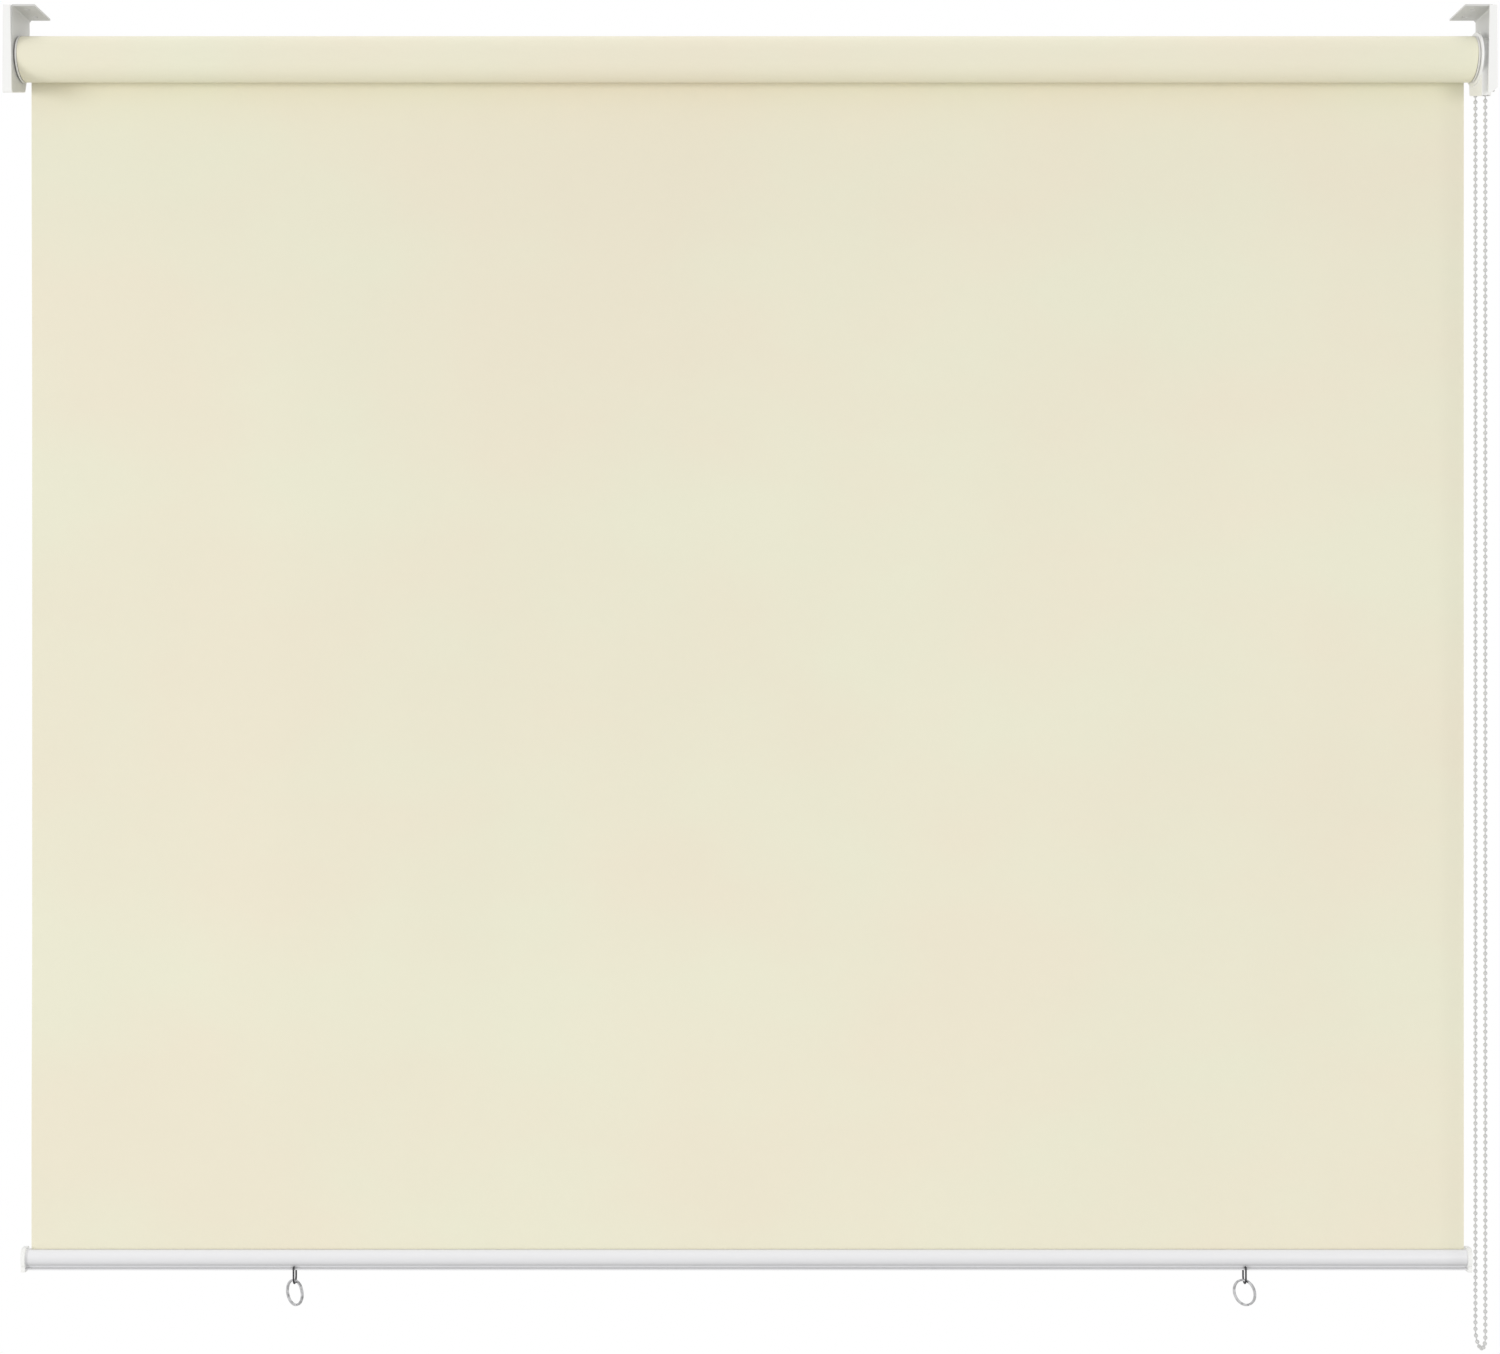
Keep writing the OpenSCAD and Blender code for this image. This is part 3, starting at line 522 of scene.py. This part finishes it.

# Bottom rail. An extruded aluminium bar with a satin white coat and faint die lines along it, with
# painted shade on its lower body, in its grooves and on its lip. A slit cord inside it pinches the foot of
# the fabric.
rail_white = toned_material("rail_aluminium", srgb(238, 238, 240), 0.12, 0.0002, patch_scale=16.0,
                            patch_depth=0.05, grain_scale=800.0, roughness=0.34, gloss_change=0.16,
                            stretch=(0.02, 1.0, 1.0))
rail_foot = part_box("bottom_rail")[0][2]
# Height above the rail's foot over which painted shade darkens its colour.
painted_shade_height = 0.02
tree = rail_white.node_tree
toned = next(n for n in tree.nodes if n.type == "GROUP")
height_at = node_in(tree, "ShaderNodeTexCoord")
parted = node_in(tree, "ShaderNodeSeparateXYZ")
from_foot = node_in(tree, "ShaderNodeMapRange")
from_foot.inputs["From Min"].default_value = rail_foot
from_foot.inputs["From Max"].default_value = rail_foot + painted_shade_height
# Painted shade: this ramp darkens the rail's colour towards its foot, with dark bands of painted shade near
# the groove and the lip.
painted_shade_ramp = node_in(tree, "ShaderNodeValToRGB")
painted_shade_ramp.color_ramp.elements[0].position = 0.0
painted_shade_ramp.color_ramp.elements[0].color = (0.62, 0.62, 0.62, 1)
painted_shade_ramp.color_ramp.elements[1].position = 0.9
painted_shade_ramp.color_ramp.elements[1].color = (1.0, 1.0, 1.0, 1)
for place, shade in [(0.03, 0.85), (0.085, 0.88), (0.1, 0.68), (0.14, 0.72), (0.18, 0.88), (0.22, 0.86),
                     (0.26, 0.62), (0.3, 0.67), (0.38, 0.78), (0.5, 0.87)]:
    painted_shade_ramp.color_ramp.elements.new(place).color = (shade, shade, shade, 1)
painted_shaded_colour = node_in(tree, "ShaderNodeVectorMath", operation="MULTIPLY")
tree.links.new(height_at.outputs["Object"], parted.inputs[0])
tree.links.new(parted.outputs["Z"], from_foot.inputs["Value"])
tree.links.new(from_foot.outputs["Result"], painted_shade_ramp.inputs[0])
tree.links.new(toned.outputs["Colour"], painted_shaded_colour.inputs[0])
tree.links.new(painted_shade_ramp.outputs["Color"], painted_shaded_colour.inputs[1])
tree.links.new(painted_shaded_colour.outputs[0], shader_of(rail_white).inputs["Base Color"])
dress(rail_white, "bottom_rail")
dress(nylon, "rail_cord")

# Rail caps. White moulded plugs pushed into the ends of the rail, with a flange that stands
# proud of it all round.
dress(white_plastic, "left_rail_cap", "right_rail_cap")

# Eyes and tie rings. Each eye is a bent wire that snaps into the rail's grooves, and a split ring
# hangs in it. The rings are chrome plated, with dark patches of painted reflection in their colour, and the
# eyes are plain wire whose dark colour is a painted reflection.
# Painted reflection: the strong, small dark patches in this colour stand in for the dark surroundings that
# the chrome mirrors.
chrome = toned_material("chrome", srgb(250, 250, 252), 0.06, 0.0001, patch_scale=210.0, patch_depth=0.9,
                        grain_scale=2200.0, roughness=0.16, gloss_change=0.14)
shader_of(chrome).inputs["Metallic"].default_value = 1.0
dress(chrome, "left_ring", "right_ring")
# Painted reflection: this dark colour stands in for the dark surroundings that the bright wire of the eyes
# mirrors.
wire_steel = toned_material("wire_steel", srgb(72, 72, 74), 0.1, 0.0001, patch_scale=120.0, patch_depth=0.3,
                            grain_scale=2600.0, roughness=0.34, gloss_change=0.2)
shader_of(wire_steel).inputs["Metallic"].default_value = 1.0
dress(wire_steel, "left_eye", "right_eye")

# Floor. A plain pale floor well below the blind, which hangs from a ceiling.
bpy.ops.object.select_all(action="DESELECT")
bpy.ops.mesh.primitive_plane_add(size=5.2, location=(0.0, 0.0, -2.3))
floor = bpy.context.object
floor.name = "floor"
floor_paint = toned_material("floor_paint", srgb(240, 240, 239), 0.05, 0.001, patch_scale=1.5,
                             patch_depth=0.03, grain_scale=120.0, roughness=0.7, gloss_change=0.1)
floor.data.materials.append(floor_paint)

# Light. A large soft lamp at the front left, a weaker one at the right and one overhead, in a pale
# room whose walls look white to the camera and in metal.
room = bpy.data.worlds.new("room")
scene.world = room
room.use_nodes = True
tree = room.node_tree
fill = tree.nodes["Background"]
fill.inputs["Color"].default_value = (1.0, 1.0, 1.0, 1.0)
fill.inputs["Strength"].default_value = 0.62
backdrop = node_in(tree, "ShaderNodeBackground")
backdrop.inputs["Color"].default_value = (1.0, 1.0, 1.0, 1.0)
backdrop.inputs["Strength"].default_value = 1.0
ray = node_in(tree, "ShaderNodeLightPath")
seen = node_in(tree, "ShaderNodeMath", operation="MAXIMUM")
shown = node_in(tree, "ShaderNodeMath", operation="MAXIMUM")
choice = node_in(tree, "ShaderNodeMixShader")
tree.links.new(ray.outputs["Is Camera Ray"], seen.inputs[0])
tree.links.new(ray.outputs["Is Glossy Ray"], seen.inputs[1])
tree.links.new(seen.outputs[0], shown.inputs[0])
tree.links.new(ray.outputs["Is Transmission Ray"], shown.inputs[1])
tree.links.new(shown.outputs[0], choice.inputs[0])
tree.links.new(fill.outputs[0], choice.inputs[1])
tree.links.new(backdrop.outputs[0], choice.inputs[2])
tree.links.new(choice.outputs[0], tree.nodes["World Output"].inputs["Surface"])

lit_place = Vector((0.0, 0.0, -0.7))
for name, place, size, power in [("lamp_left", (-8.5, -6.5, -1.5), 4.0, 390.0),
                                 ("lamp_right", (5.0, -7.5, -1.4), 4.0, 170.0),
                                 ("lamp_top", (0.0, 0.7, 3.2), 4.0, 60.0)]:
    bpy.ops.object.light_add(type="AREA", location=place)
    lamp = bpy.context.object
    lamp.name = name
    lamp.data.shape = "DISK"
    lamp.data.size = size
    lamp.data.energy = power
    lamp.visible_camera = False
    lamp.rotation_euler = (lit_place - Vector(place)).to_track_quat("-Z", "Y").to_euler()
